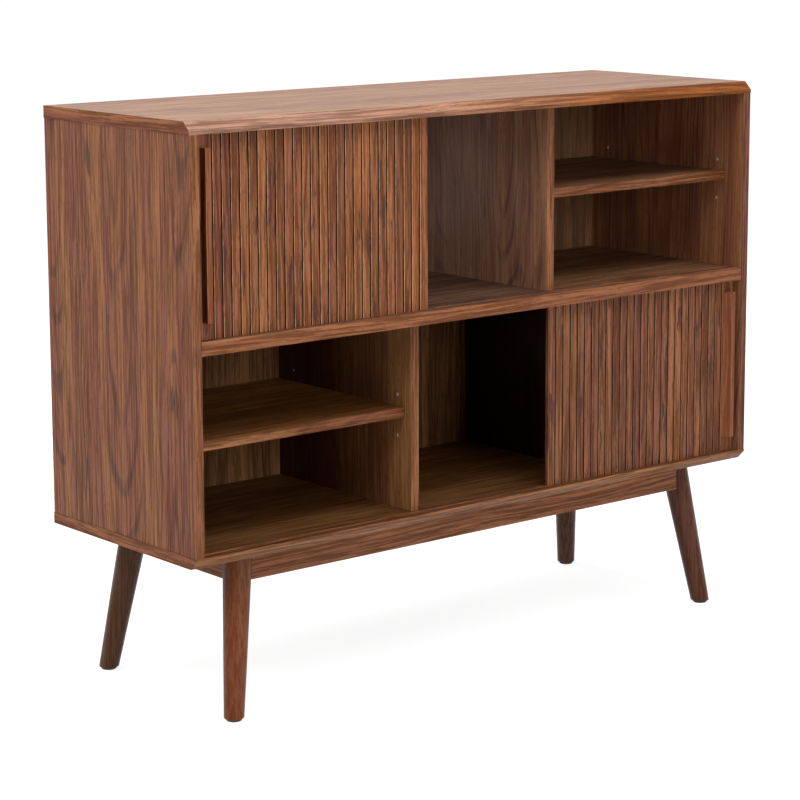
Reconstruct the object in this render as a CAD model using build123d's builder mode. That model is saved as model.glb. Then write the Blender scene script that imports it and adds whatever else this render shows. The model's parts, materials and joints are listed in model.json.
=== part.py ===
"""Media cabinet: two open tiers with a slatted sliding door in each, on a frame with splayed round legs.

Millimetres. +X is to the right seen from the front, +Y to the back, +Z up.
The origin is on the floor, under the middle of the cabinet.
"""
import os

from build123d import *

# Carcass
carcass_width = 1200.0  # over the outsides of the side panels
carcass_depth = 400.0
tier_height = 309.0  # clear height of each tier
top_thickness = 20.0
middle_thickness = 22.0
bottom_thickness = 18.0
side_thickness = 16.0
divider_thickness = 16.0
end_overhang = 1.0  # top and bottom boards past the side panels, at each end
edge_bevel = 14.0  # 45 degree bevel on the front edge of the top and bottom boards
shelf_bay_width = 428.0  # clear width of the bay with the adjustable shelf
door_bay_width = 300.0  # clear width of the bay behind the closed door
divider_setback = 28.0  # front plane of the cabinet to the front edge of a divider

# Back panel, held in grooves
back_thickness = 5.0
back_setback = 13.0  # rear plane of the cabinet to the rear face of the panel
back_groove_depth = 6.0
back_groove_clearance = 0.15  # on each face of the panel
back_edge_clearance = 0.3  # panel edge to the bottom of its groove, and boards to its front face
cable_hole_diameter = 60.0  # behind the lower middle bay
back_opening_margin = 45.0  # large opening behind the upper middle bay: its edge to the bay's edge
back_opening_radius = 20.0

# Adjustable shelves and their supports
shelf_thickness = 16.0
shelf_setback = 43.0  # front plane to the front edge of the shelf
shelf_end_clearance = 1.0
shelf_rear_clearance = 1.0
pin_inset = 61.0  # front or rear plane to the nearer line of pin holes
pin_pitch = 34.0  # from one height to the next
pin_hole_radius = 2.5
pin_hole_depth = 9.0
pin_clearance = 0.05
support_drop = 1.0  # pin axis to the seat of the shelf
support_reach = 9.0
support_width = 10.0
support_thickness = 2.0

# Sliding doors
door_width = 451.5
door_thickness = 6.5
door_recess = 14.0  # front plane to the face of the door
door_end_clearance = 0.5  # door edge to side panel at either end of its travel
track_clearance = 0.5  # on each face of the door
lower_track_depth = 5.0
upper_track_depth = 10.0
door_top_engagement = 4.5
slat_pitch = 16.75
slat_groove_width = 2.4
slat_groove_floor = 2.0
slat_groove_depth = 3.2
handle_strip = 32.75  # plain strip that carries the handle
glide_length = 40.0
glide_notch_height = 3.0
glide_stand = 1.0  # glide below the bottom edge of the door
glide_running_gap = 0.3

# Door handles
handle_length = 262.0
handle_rise = 3.0  # middle of the handle above the middle of the tier
handle_base_width = 18.0
handle_front_width = 10.0
handle_edge_radius = 1.0
finger_gap = 12.0  # closed handle to side panel

# Base
leg_height = 256.0  # floor to the underside of the bottom board
leg_top_radius = 23.5
leg_foot_radius = 16.0
leg_top_inset_x = 119.0
leg_top_inset_y = 60.0
leg_foot_inset_x = 81.5
leg_foot_inset_y = 23.5
foot_pad_height = 4.0
foot_pad_radius = 12.5
foot_nail_radius = 1.5
foot_nail_length = 12.0
rail_thickness = 18.0
rail_height = 43.5
rail_inset_x = 100.0  # side panel face to the outer face of a side rail
rail_inset_y = 40.0  # front or rear plane to the outer face of a long rail
cope_clearance = 0.3  # round leg to the end of a rail

# Hardware
dowel_radius = 4.0
dowel_in_board = 10.0
dowel_in_panel = 20.0
dowel_end_room = 0.3
dowel_inset = 60.0  # front or rear edge of a panel to the nearer dowel
screw_radius = 2.0
screw_head_radius = 4.0
screw_clearance = 0.1
rail_screw_length = 45.0
rail_screw_bite = 10.0  # into the bottom board
rail_screw_pitch = 360.0  # along a long rail, about its middle
end_rail_screw_pitch = 90.0
centre_rail_screw_pitch = 140.0
back_screw_length = 22.0
back_screw_head_height = 2.0
back_screw_pitch = 220.0  # along the middle board, about its middle
back_screw_rise = 80.0  # along a divider, above and below the middle of its tier
handle_screw_length = 16.0
handle_screw_inset = 40.0  # end of the handle to its screw
leg_bolt_radius = 4.0
leg_bolt_in_leg = 32.0
leg_bolt_in_board = 11.0
insert_radius = 6.0
insert_length = 12.0

# Levels and planes that several pieces share
bottom_low = leg_height
bottom_top = bottom_low + bottom_thickness
middle_low = bottom_top + tier_height
middle_top = middle_low + middle_thickness
top_low = middle_top + tier_height
top_high = top_low + top_thickness
front_y = -carcass_depth / 2
rear_y = carcass_depth / 2
side_inner = carcass_width / 2 - side_thickness
board_length = carcass_width + 2 * end_overhang
back_rear_y = rear_y - back_setback
back_front_y = back_rear_y - back_thickness
inner_rear_y = back_front_y - back_edge_clearance  # rear edge of what stands in front of the back
divider_front_y = front_y + divider_setback
shelf_divider_x = side_inner - shelf_bay_width - divider_thickness / 2
door_divider_x = side_inner - door_bay_width - divider_thickness / 2
lower_middle = bottom_top + tier_height / 2
upper_middle = middle_top + tier_height / 2
track_width = door_thickness + 2 * track_clearance
door_middle_y = front_y + door_recess + door_thickness / 2
door_rear_y = front_y + door_recess + door_thickness
door_closed_x = side_inner - door_end_clearance - door_width / 2  # centre of a closed door
handle_outer_x = side_inner - finger_gap
leg_top_x = carcass_width / 2 - leg_top_inset_x
leg_top_y = carcass_depth / 2 - leg_top_inset_y
leg_foot_x = carcass_width / 2 - leg_foot_inset_x
leg_foot_y = carcass_depth / 2 - leg_foot_inset_y
rail_x = carcass_width / 2 - rail_inset_x - rail_thickness / 2
rail_y = carcass_depth / 2 - rail_inset_y - rail_thickness / 2
rail_low = bottom_low - rail_height

# Dowels: each spot is on the seam between two pieces
dowel_rows = (front_y + dowel_inset, inner_rear_y - dowel_inset)
side_middle_x = side_inner + side_thickness / 2
upper_dividers = (-door_divider_x, shelf_divider_x)
lower_dividers = (-shelf_divider_x, door_divider_x)
side_panels = (-side_middle_x, side_middle_x)
top_dowels = [(x, y, top_low) for x in side_panels + upper_dividers for y in dowel_rows]
bottom_dowels = [(x, y, bottom_top) for x in side_panels + lower_dividers for y in dowel_rows]
middle_top_dowels = [(x, y, middle_top) for x in upper_dividers for y in dowel_rows]
middle_low_dowels = [(x, y, middle_low) for x in lower_dividers for y in dowel_rows]
middle_end_dowels = [
    (x, y, (middle_low + middle_top) / 2) for x in (-side_inner, side_inner) for y in dowel_rows
]

# Screws
back_screw_rises = (-back_screw_rise, back_screw_rise)
back_screw_spots = [(step * back_screw_pitch, (middle_low + middle_top) / 2) for step in range(-2, 3)]
back_screw_spots += [(x, upper_middle + rise) for x in upper_dividers for rise in back_screw_rises]
back_screw_spots += [(x, lower_middle + rise) for x in lower_dividers for rise in back_screw_rises]
long_rail_screws = [(step * rail_screw_pitch, side * rail_y) for step in (-1, 0, 1) for side in (-1, 1)]
short_rail_screws = [
    (side * rail_x, end * end_rail_screw_pitch / 2) for side in (-1, 1) for end in (-1, 1)
]
centre_rail_screws = [(0, end * centre_rail_screw_pitch / 2) for end in (-1, 1)]
rail_screw_spots = long_rail_screws + short_rail_screws + centre_rail_screws
rail_screw_head_z = bottom_low + rail_screw_bite - rail_screw_length
leg_corners = {"front_left": (-1, -1), "front_right": (1, -1), "rear_left": (-1, 1), "rear_right": (1, 1)}


def save(piece, name):
    """Label a finished piece and write its STEP file."""
    piece.part.label = name
    export_step(piece.part, f"parts/{name}.step")


def dowel_centres(spots, into_board):
    """Middle of each upright dowel. into_board is +1 where the board lies above the seam, else -1."""
    shift = into_board * (dowel_in_board - dowel_in_panel) / 2
    return [(x, y, z + shift) for x, y, z in spots]


def bore_upright_dowels(spots, into_board):
    """Cut the dowel holes on both sides of a seam out of the piece being built."""
    with Locations(*dowel_centres(spots, into_board)):
        Cylinder(
            dowel_radius + pin_clearance,
            dowel_in_board + dowel_in_panel + 2 * dowel_end_room,
            mode=Mode.SUBTRACT,
        )


def end_dowel_centres():
    """Middle of each level dowel between the middle board and a side panel."""
    shift = (dowel_in_panel - dowel_in_board) / 2
    return [(x - shift * (1 if x > 0 else -1), y, z) for x, y, z in middle_end_dowels]


def bore_end_dowels():
    """Cut the level dowel holes out of the piece being built."""
    with Locations(*end_dowel_centres()):
        Cylinder(
            dowel_radius + pin_clearance,
            dowel_in_board + dowel_in_panel + 2 * dowel_end_room,
            rotation=(0, 90, 0),
            mode=Mode.SUBTRACT,
        )


def bore_pin_holes(face_x, outward, tier_middle):
    """Two lines of three shelf-pin holes in the face at face_x, which looks along outward."""
    rows = (tier_middle - pin_pitch, tier_middle, tier_middle + pin_pitch)
    lines = (front_y + pin_inset, rear_y - pin_inset)
    with Locations(*[(face_x - outward * pin_hole_depth / 2, y, z) for y in lines for z in rows]):
        Cylinder(pin_hole_radius, pin_hole_depth, rotation=(0, 90, 0), mode=Mode.SUBTRACT)


def bore_back_screws(radius):
    """Cut the holes of the screws that run through the back panel out of the piece being built."""
    middle_y = back_rear_y - back_screw_length / 2
    with Locations(*[(x, middle_y, z) for x, z in back_screw_spots]):
        Cylinder(radius, back_screw_length, rotation=(90, 0, 0), mode=Mode.SUBTRACT)


def leg_axis_plane(side_x, side_y, height):
    """Plane square to a leg's axis, where the axis is at this height above the floor."""
    foot = Vector(side_x * leg_foot_x, side_y * leg_foot_y, 0)
    top = Vector(side_x * leg_top_x, side_y * leg_top_y, leg_height)
    return Plane(origin=foot + (top - foot) * (height / leg_height), z_dir=top - foot)


def leg_radius(height):
    """Radius of the leg's taper where its axis is at this height."""
    return leg_foot_radius + (leg_top_radius - leg_foot_radius) * height / leg_height


def turned_leg(side_x, side_y, growth, low, high):
    """Tapered round leg, turned about its splayed axis and cut level at two heights."""
    over = leg_top_radius
    ends = (low - over, high + over)
    with BuildPart() as leg:
        with BuildSketch(leg_axis_plane(side_x, side_y, ends[0])):
            Circle(leg_radius(ends[0]) + growth)
        with BuildSketch(leg_axis_plane(side_x, side_y, ends[1])):
            Circle(leg_radius(ends[1]) + growth)
        loft(ruled=True)
        split(bisect_by=Plane.XY.offset(high), keep=Keep.BOTTOM)
        split(bisect_by=Plane.XY.offset(low), keep=Keep.TOP)
    return leg


def screw(length, head_height, head_low_radius):
    """Screw that points down, with the top of its head at the origin."""
    profile = [(0, 0), (screw_head_radius, 0), (head_low_radius, -head_height)]
    if head_low_radius > screw_radius:
        profile.append((screw_radius, -head_height))
    profile += [(screw_radius, screw_radius - length), (0, -length)]
    with BuildPart() as piece:
        with BuildSketch(Plane.XZ):
            with BuildLine():
                Polyline(*profile, close=True)
            make_face()
        revolve(axis=Axis.Z)
    return piece


def make_top_board():
    """Top board: bevelled front edge, door track and back groove on its underside."""
    with BuildPart() as board:
        with BuildSketch(Plane.YZ):
            with BuildLine():
                Polyline(
                    (rear_y, top_low),
                    (front_y, top_low),
                    (front_y, top_high - edge_bevel),
                    (front_y + edge_bevel, top_high),
                    (rear_y, top_high),
                    close=True,
                )
            make_face()
        extrude(amount=board_length / 2, both=True)
        with BuildSketch(Plane.XY.offset(top_low)):
            with Locations((0, door_middle_y)):
                Rectangle(2 * side_inner, track_width)
        extrude(amount=upper_track_depth, mode=Mode.SUBTRACT)
        with BuildSketch(Plane.XY.offset(top_low)):
            with Locations((0, (back_front_y + back_rear_y) / 2)):
                Rectangle(
                    2 * (side_inner + back_groove_depth), back_thickness + 2 * back_groove_clearance
                )
        extrude(amount=back_groove_depth, mode=Mode.SUBTRACT)
        bore_upright_dowels(top_dowels, 1)
    return board


def make_bottom_board():
    """Bottom board: bevelled front edge, door track and back groove on top, leg inserts below."""
    with BuildPart() as board:
        with BuildSketch(Plane.YZ):
            with BuildLine():
                Polyline(
                    (rear_y, bottom_top),
                    (front_y, bottom_top),
                    (front_y, bottom_low + edge_bevel),
                    (front_y + edge_bevel, bottom_low),
                    (rear_y, bottom_low),
                    close=True,
                )
            make_face()
        extrude(amount=board_length / 2, both=True)
        with BuildSketch(Plane.XY.offset(bottom_top)):
            with Locations((0, door_middle_y)):
                Rectangle(2 * side_inner, track_width)
        extrude(amount=-lower_track_depth, mode=Mode.SUBTRACT)
        with BuildSketch(Plane.XY.offset(bottom_top)):
            with Locations((0, (back_front_y + back_rear_y) / 2)):
                Rectangle(
                    2 * (side_inner + back_groove_depth), back_thickness + 2 * back_groove_clearance
                )
        extrude(amount=-back_groove_depth, mode=Mode.SUBTRACT)
        bore_upright_dowels(bottom_dowels, -1)
        with BuildSketch(Plane.XY.offset(bottom_low)):
            with GridLocations(2 * leg_top_x, 2 * leg_top_y, 2, 2):
                Circle(insert_radius + pin_clearance)
        extrude(amount=insert_length + dowel_end_room, mode=Mode.SUBTRACT)
        with BuildSketch(Plane.XY.offset(bottom_low)):
            with Locations(*rail_screw_spots):
                Circle(screw_radius + screw_clearance)
        extrude(amount=rail_screw_bite + dowel_end_room, mode=Mode.SUBTRACT)
    return board


def make_middle_board():
    """Fixed board between the tiers, with a door track in each face."""
    with BuildPart() as board:
        with BuildSketch(Plane.YZ):
            with BuildLine():
                Polyline(
                    (front_y, middle_low),
                    (inner_rear_y, middle_low),
                    (inner_rear_y, middle_top),
                    (front_y, middle_top),
                    close=True,
                )
            make_face()
        extrude(amount=side_inner, both=True)
        for level, depth in ((middle_top, -lower_track_depth), (middle_low, upper_track_depth)):
            with BuildSketch(Plane.XY.offset(level)):
                with Locations((0, door_middle_y)):
                    Rectangle(2 * side_inner, track_width)
            extrude(amount=depth, mode=Mode.SUBTRACT)
        bore_upright_dowels(middle_top_dowels, -1)
        bore_upright_dowels(middle_low_dowels, 1)
        bore_end_dowels()
        bore_back_screws(screw_radius + screw_clearance)
    return board


def make_side_panel(side, shelf_tier_middle):
    """Side panel. side is -1 for the left one, and shelf_tier_middle is the tier with its pin holes."""
    with BuildPart() as panel:
        with BuildSketch(Plane.XY.offset(bottom_top)):
            with Locations((side * side_middle_x, 0)):
                Rectangle(side_thickness, carcass_depth)
            with Locations((side * side_inner, (back_front_y + back_rear_y) / 2)):
                Rectangle(
                    2 * back_groove_depth, back_thickness + 2 * back_groove_clearance, mode=Mode.SUBTRACT
                )
        extrude(amount=top_low - bottom_top)
        bore_upright_dowels(top_dowels, 1)
        bore_upright_dowels(bottom_dowels, -1)
        bore_end_dowels()
        bore_pin_holes(side * side_inner, -side, shelf_tier_middle)
    return panel


def make_divider(x, floor, shelf_side):
    """Upright divider of one tier. shelf_side is the side with pin holes, or 0."""
    ceiling = floor + tier_height
    with BuildPart() as panel:
        with BuildSketch(Plane.XY.offset(floor)):
            with Locations((x, (divider_front_y + inner_rear_y) / 2)):
                Rectangle(divider_thickness, inner_rear_y - divider_front_y)
        extrude(amount=tier_height)
        upper_seam = [(x, y, ceiling) for y in dowel_rows]
        lower_seam = [(x, y, floor) for y in dowel_rows]
        bore_upright_dowels(upper_seam, 1)
        bore_upright_dowels(lower_seam, -1)
        bore_back_screws(screw_radius + screw_clearance)
        if shelf_side:
            bore_pin_holes(x + shelf_side * divider_thickness / 2, shelf_side, floor + tier_height / 2)
    return panel


def make_back_panel():
    """Thin back in one sheet, open behind the upper middle bay and with a cable hole in the lower one."""
    bay_middle = (door_divider_x - shelf_divider_x) / 2
    bay_width = door_divider_x + shelf_divider_x - divider_thickness
    with BuildPart() as panel:
        with BuildSketch(Plane.XZ.offset(-back_rear_y)):
            with Locations((0, (bottom_top + top_low) / 2)):
                Rectangle(
                    2 * (side_inner + back_groove_depth - back_edge_clearance),
                    top_low - bottom_top + 2 * (back_groove_depth - back_edge_clearance),
                )
            with Locations((bay_middle, lower_middle)):
                Circle(cable_hole_diameter / 2, mode=Mode.SUBTRACT)
            with Locations((-bay_middle, upper_middle)):
                RectangleRounded(
                    bay_width - 2 * back_opening_margin,
                    tier_height - 2 * back_opening_margin,
                    back_opening_radius,
                    mode=Mode.SUBTRACT,
                )
        extrude(amount=back_thickness)
        bore_back_screws(screw_radius + screw_clearance)
    return panel


def make_shelf(side, tier_middle):
    """Adjustable shelf in the bay next to the side panel on this side."""
    width = shelf_bay_width - 2 * shelf_end_clearance
    front = front_y + shelf_setback
    depth = back_front_y - shelf_rear_clearance - front
    with BuildPart() as shelf:
        with BuildSketch(Plane.XY.offset(tier_middle - support_drop)):
            with Locations((side * (side_inner - shelf_bay_width / 2), front + depth / 2)):
                Rectangle(width, depth)
        extrude(amount=shelf_thickness)
    return shelf


def make_supports(side, tier_middle):
    """Four spoon-shaped supports of one shelf: a peg in the panel and a flat tongue under the shelf."""
    faces = ((side * side_inner, -side), (side * (side_inner - shelf_bay_width), side))
    peg_length = pin_hole_depth - dowel_end_room
    with BuildPart() as supports:
        for face_x, outward in faces:
            for y in (front_y + pin_inset, rear_y - pin_inset):
                with BuildSketch(Plane.YZ.offset(face_x)):
                    with Locations((y, tier_middle)):
                        Circle(pin_hole_radius - pin_clearance)
                extrude(amount=-outward * peg_length)
                with BuildSketch(Plane.YZ.offset(face_x)):
                    with Locations((y, tier_middle - support_drop)):
                        Rectangle(support_width, support_thickness, align=(Align.CENTER, Align.MAX))
                extrude(amount=outward * support_reach)
    return supports


def make_door(side, floor):
    """Sliding door, closed against the side panel on this side, with milled slats on its face."""
    low = floor - lower_track_depth + glide_running_gap + glide_stand
    high = floor + tier_height + door_top_engagement
    face_y = front_y + door_recess
    free_edge_x = side * (door_closed_x - door_width / 2)
    groove_count = round((door_width - handle_strip) / slat_pitch)
    grooves = [(free_edge_x + side * slat_pitch * (i + 1), face_y) for i in range(groove_count)]
    with BuildPart() as door:
        with BuildSketch(Plane.XY.offset(low)):
            with Locations((side * door_closed_x, door_middle_y)):
                Rectangle(door_width, door_thickness)
            with Locations(*grooves):
                Polygon(
                    (-slat_groove_width / 2, 0),
                    (slat_groove_width / 2, 0),
                    (slat_groove_floor / 2, slat_groove_depth),
                    (-slat_groove_floor / 2, slat_groove_depth),
                    align=None,
                    mode=Mode.SUBTRACT,
                )
        extrude(amount=high - low)
        notch_x = (door_width - glide_length) / 2
        with BuildSketch(Plane.XY.offset(low)):
            with Locations((side * door_closed_x - notch_x, door_middle_y)):
                Rectangle(glide_length, door_thickness)
            with Locations((side * door_closed_x + notch_x, door_middle_y)):
                Rectangle(glide_length, door_thickness)
        extrude(amount=glide_notch_height, mode=Mode.SUBTRACT)
        with Locations(*handle_screw_places(side, floor)):
            Cylinder(screw_radius + screw_clearance, 2 * door_thickness, mode=Mode.SUBTRACT)
            Cone(
                screw_radius,
                screw_head_radius + screw_clearance,
                screw_head_radius + screw_clearance - screw_radius,
                align=(Align.CENTER, Align.CENTER, Align.MAX),
                mode=Mode.SUBTRACT,
            )
    return door


def make_glides(side, floor):
    """Two nylon runners in the bottom corners of a door."""
    low = floor - lower_track_depth + glide_running_gap
    notch_x = (door_width - glide_length) / 2
    with BuildPart() as glides:
        with BuildSketch(Plane.XY.offset(low)):
            for end in (-1, 1):
                with Locations((side * door_closed_x + end * notch_x, door_middle_y)):
                    Rectangle(glide_length, door_thickness)
        extrude(amount=glide_stand + glide_notch_height)
    return glides


def handle_screw_places(side, floor):
    """Head of each handle screw, on the rear face of the door, pointing forwards."""
    x = side * (handle_outer_x - handle_base_width / 2)
    middle = floor + tier_height / 2 + handle_rise
    reach = handle_length / 2 - handle_screw_inset
    return [Location((x, door_rear_y, middle + dz), (-90, 0, 0)) for dz in (-reach, reach)]


def make_handle(side, floor):
    """Full-height wooden pull: square outer face, sloping inner face, front flush with the cabinet."""
    middle = floor + tier_height / 2 + handle_rise
    face_y = front_y + door_recess
    outer = side * handle_outer_x
    with BuildPart() as handle:
        with BuildSketch(Plane.XY.offset(middle - handle_length / 2)):
            with BuildLine():
                Polyline(
                    (outer, face_y),
                    (outer, front_y),
                    (outer - side * handle_front_width, front_y),
                    (outer - side * handle_base_width, face_y),
                    close=True,
                )
            make_face()
        extrude(amount=handle_length)
        front_edges = handle.edges().filter_by(Axis.Z).group_by(Axis.Y)[0]
        fillet(front_edges, radius=handle_edge_radius)
        with Locations(*handle_screw_places(side, floor)):
            Cylinder(
                screw_radius + screw_clearance,
                handle_screw_length + dowel_end_room,
                align=(Align.CENTER, Align.CENTER, Align.MAX),
                mode=Mode.SUBTRACT,
            )
    return handle


def make_handle_screws(side, floor):
    """Countersunk screws from the back of the door into its handle."""
    one = screw(handle_screw_length, screw_head_radius - screw_radius, screw_radius)
    with BuildPart() as screws:
        with Locations(*handle_screw_places(side, floor)):
            add(one.part)
    return screws


def make_leg(side_x, side_y):
    """Leg with its bolt hole in the top and the foot pad's nail hole below."""
    form = turned_leg(side_x, side_y, 0, foot_pad_height, bottom_low)
    foot = leg_axis_plane(side_x, side_y, foot_pad_height).origin
    with BuildPart() as leg:
        add(form.part)
        with BuildSketch(Plane.XY.offset(bottom_low)):
            with Locations((side_x * leg_top_x, side_y * leg_top_y)):
                Circle(leg_bolt_radius + pin_clearance)
        extrude(amount=-leg_bolt_in_leg - dowel_end_room, mode=Mode.SUBTRACT)
        with BuildSketch(Plane.XY.offset(foot_pad_height)):
            with Locations((foot.X, foot.Y)):
                Circle(foot_nail_radius + pin_clearance)
        extrude(amount=foot_nail_length + dowel_end_room, mode=Mode.SUBTRACT)
    return leg


def make_foot_pad(side_x, side_y):
    """Plastic foot pad with a moulded rim and its nail."""
    foot = leg_axis_plane(side_x, side_y, foot_pad_height).origin
    with BuildPart() as pad:
        with BuildSketch(Plane.XY):
            with Locations((foot.X, foot.Y)):
                Circle(foot_pad_radius)
        extrude(amount=foot_pad_height)
        chamfer(pad.edges().group_by(Axis.Z)[0], length=foot_pad_height / 4)
        with BuildSketch(Plane.XY.offset(foot_pad_height)):
            with Locations((foot.X, foot.Y)):
                Circle(foot_nail_radius)
        extrude(amount=foot_nail_length)
    return pad


def cope_to_legs(corners):
    """Cut the round seats of these legs out of the rail being built."""
    for side_x, side_y in corners:
        cutter = turned_leg(side_x, side_y, cope_clearance, rail_low - 1, bottom_low + 1)
        add(cutter.part, mode=Mode.SUBTRACT)


def bore_rail_screws(spots):
    """Clearance holes up through a rail, counterbored from below."""
    with Locations(*[(x, y, rail_low) for x, y in spots]):
        Cylinder(
            screw_radius + screw_clearance,
            rail_height,
            align=(Align.CENTER, Align.CENTER, Align.MIN),
            mode=Mode.SUBTRACT,
        )
        Cylinder(
            screw_head_radius + screw_clearance,
            rail_screw_head_z - rail_low + screw_head_radius - screw_radius + screw_clearance,
            align=(Align.CENTER, Align.CENTER, Align.MIN),
            mode=Mode.SUBTRACT,
        )


def make_long_rail(side_y):
    """Rail along the front or the rear, coped to the round legs at both ends."""
    with BuildPart() as rail:
        with BuildSketch(Plane.XY.offset(rail_low)):
            with Locations((0, side_y * rail_y)):
                Rectangle(2 * leg_top_x, rail_thickness)
        extrude(amount=rail_height)
        cope_to_legs([(-1, side_y), (1, side_y)])
        bore_rail_screws([(x, y) for x, y in long_rail_screws if y * side_y > 0])
    return rail


def make_short_rail(side_x):
    """Rail at one end, coped to the round legs."""
    with BuildPart() as rail:
        with BuildSketch(Plane.XY.offset(rail_low)):
            with Locations((side_x * rail_x, 0)):
                Rectangle(rail_thickness, 2 * leg_top_y)
        extrude(amount=rail_height)
        cope_to_legs([(side_x, -1), (side_x, 1)])
        bore_rail_screws([(x, y) for x, y in short_rail_screws if x * side_x > 0])
    return rail


def make_centre_rail():
    """Cross rail under the middle of the bottom board, between the two long rails."""
    with BuildPart() as rail:
        with BuildSketch(Plane.XY.offset(rail_low)):
            Rectangle(rail_thickness, 2 * rail_y - rail_thickness)
        extrude(amount=rail_height)
        bore_rail_screws(centre_rail_screws)
    return rail


def make_dowels():
    """All carcass dowels, upright ones at the board seams and level ones at the middle board's ends."""
    length = dowel_in_board + dowel_in_panel
    upright = dowel_centres(top_dowels + middle_low_dowels, 1)
    upright += dowel_centres(bottom_dowels + middle_top_dowels, -1)
    with BuildPart() as dowels:
        with Locations(*upright):
            Cylinder(dowel_radius, length)
        with Locations(*end_dowel_centres()):
            Cylinder(dowel_radius, length, rotation=(0, 90, 0))
    return dowels


def make_leg_hardware():
    """Threaded inserts in the bottom board, and the bolts that hold the legs to them."""
    corners = [(x * leg_top_x, y * leg_top_y) for x, y in leg_corners.values()]
    with BuildPart() as inserts:
        with BuildSketch(Plane.XY.offset(bottom_low)):
            with Locations(*corners):
                Circle(insert_radius)
                Circle(leg_bolt_radius + pin_clearance, mode=Mode.SUBTRACT)
        extrude(amount=insert_length)
    with BuildPart() as bolts:
        with BuildSketch(Plane.XY.offset(bottom_low - leg_bolt_in_leg)):
            with Locations(*corners):
                Circle(leg_bolt_radius)
        extrude(amount=leg_bolt_in_leg + leg_bolt_in_board)
    return inserts, bolts


def make_rail_screws():
    """Countersunk screws up through the rails into the bottom board."""
    one = screw(rail_screw_length, screw_head_radius - screw_radius, screw_radius)
    with BuildPart() as screws:
        with Locations(*[Location((x, y, rail_screw_head_z), (180, 0, 0)) for x, y in rail_screw_spots]):
            add(one.part)
    return screws


def make_back_screws():
    """Round-headed screws through the back panel into the middle board and the dividers."""
    head_y = back_rear_y + back_screw_head_height
    one = screw(back_screw_length, back_screw_head_height, screw_head_radius)
    with BuildPart() as screws:
        with Locations(*[Location((x, head_y, z), (-90, 0, 0)) for x, z in back_screw_spots]):
            add(one.part)
    return screws


os.makedirs("parts", exist_ok=True)

save(make_top_board(), "top_board")
save(make_middle_board(), "middle_board")
save(make_bottom_board(), "bottom_board")
save(make_side_panel(-1, lower_middle), "left_side_panel")
save(make_side_panel(1, upper_middle), "right_side_panel")
save(make_divider(-door_divider_x, middle_top, 0), "upper_left_divider")
save(make_divider(shelf_divider_x, middle_top, 1), "upper_right_divider")
save(make_divider(-shelf_divider_x, bottom_top, -1), "lower_left_divider")
save(make_divider(door_divider_x, bottom_top, 0), "lower_right_divider")
save(make_back_panel(), "back_panel")
save(make_back_screws(), "back_panel_screws")
save(make_dowels(), "carcass_dowels")
save(make_shelf(1, upper_middle), "upper_shelf")
save(make_shelf(-1, lower_middle), "lower_shelf")
save(make_supports(1, upper_middle), "upper_shelf_supports")
save(make_supports(-1, lower_middle), "lower_shelf_supports")

for tier, door_side, tier_floor in (("upper", -1, middle_top), ("lower", 1, bottom_top)):
    save(make_door(door_side, tier_floor), f"{tier}_door")
    save(make_handle(door_side, tier_floor), f"{tier}_door_handle")
    save(make_handle_screws(door_side, tier_floor), f"{tier}_handle_screws")
    save(make_glides(door_side, tier_floor), f"{tier}_door_glides")

for corner, (corner_x, corner_y) in leg_corners.items():
    save(make_leg(corner_x, corner_y), f"{corner}_leg")
    save(make_foot_pad(corner_x, corner_y), f"{corner}_foot_pad")

leg_inserts, leg_bolts = make_leg_hardware()
save(leg_inserts, "leg_inserts")
save(leg_bolts, "leg_bolts")
save(make_long_rail(-1), "front_rail")
save(make_long_rail(1), "rear_rail")
save(make_short_rail(-1), "left_rail")
save(make_short_rail(1), "right_rail")
save(make_centre_rail(), "centre_rail")
save(make_rail_screws(), "rail_screws")
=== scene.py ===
"""Media cabinet in walnut veneer, dressed for a studio view."""
import json
import math

import bpy
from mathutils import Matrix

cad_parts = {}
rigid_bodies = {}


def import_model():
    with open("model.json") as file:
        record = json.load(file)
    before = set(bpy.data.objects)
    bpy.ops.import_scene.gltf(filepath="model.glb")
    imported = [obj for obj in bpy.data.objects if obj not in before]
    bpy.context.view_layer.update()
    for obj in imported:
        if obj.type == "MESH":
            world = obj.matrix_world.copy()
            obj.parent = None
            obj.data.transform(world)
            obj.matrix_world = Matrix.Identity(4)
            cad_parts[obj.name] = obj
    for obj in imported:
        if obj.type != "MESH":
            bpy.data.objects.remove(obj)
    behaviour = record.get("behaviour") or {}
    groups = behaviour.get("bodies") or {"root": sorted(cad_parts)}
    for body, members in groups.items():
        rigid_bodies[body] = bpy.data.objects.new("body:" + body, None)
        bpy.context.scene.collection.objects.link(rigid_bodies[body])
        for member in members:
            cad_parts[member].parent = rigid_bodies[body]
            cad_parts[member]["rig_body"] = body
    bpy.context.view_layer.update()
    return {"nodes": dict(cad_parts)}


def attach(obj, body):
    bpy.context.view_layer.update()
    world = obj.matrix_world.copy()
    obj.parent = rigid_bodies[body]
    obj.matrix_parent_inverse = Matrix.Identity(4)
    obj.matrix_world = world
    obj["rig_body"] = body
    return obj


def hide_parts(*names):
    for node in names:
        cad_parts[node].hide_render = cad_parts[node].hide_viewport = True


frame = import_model()
nodes = frame["nodes"]

# Places on the cabinet that the finishes and the lamps go by, in metres
SLAT_PITCH = 0.01675
GROOVES = 25  # in each door
DOOR_FREE_EDGE = 0.132  # from the cabinet's middle, with the doors closed
DOOR_FRONT = -0.186
HALF_WIDTH = 0.6  # from the cabinet's middle to the outer faces of its side panels
CABINET_MIDDLE = 0.5  # height
PIN_RADIUS = 0.0025
PIN_COLUMNS = (-0.139, 0.139)
PIN_MIDDLES = (0.4285, 0.7595)
PIN_STEPS = (-0.034, 0.0, 0.034)

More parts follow.
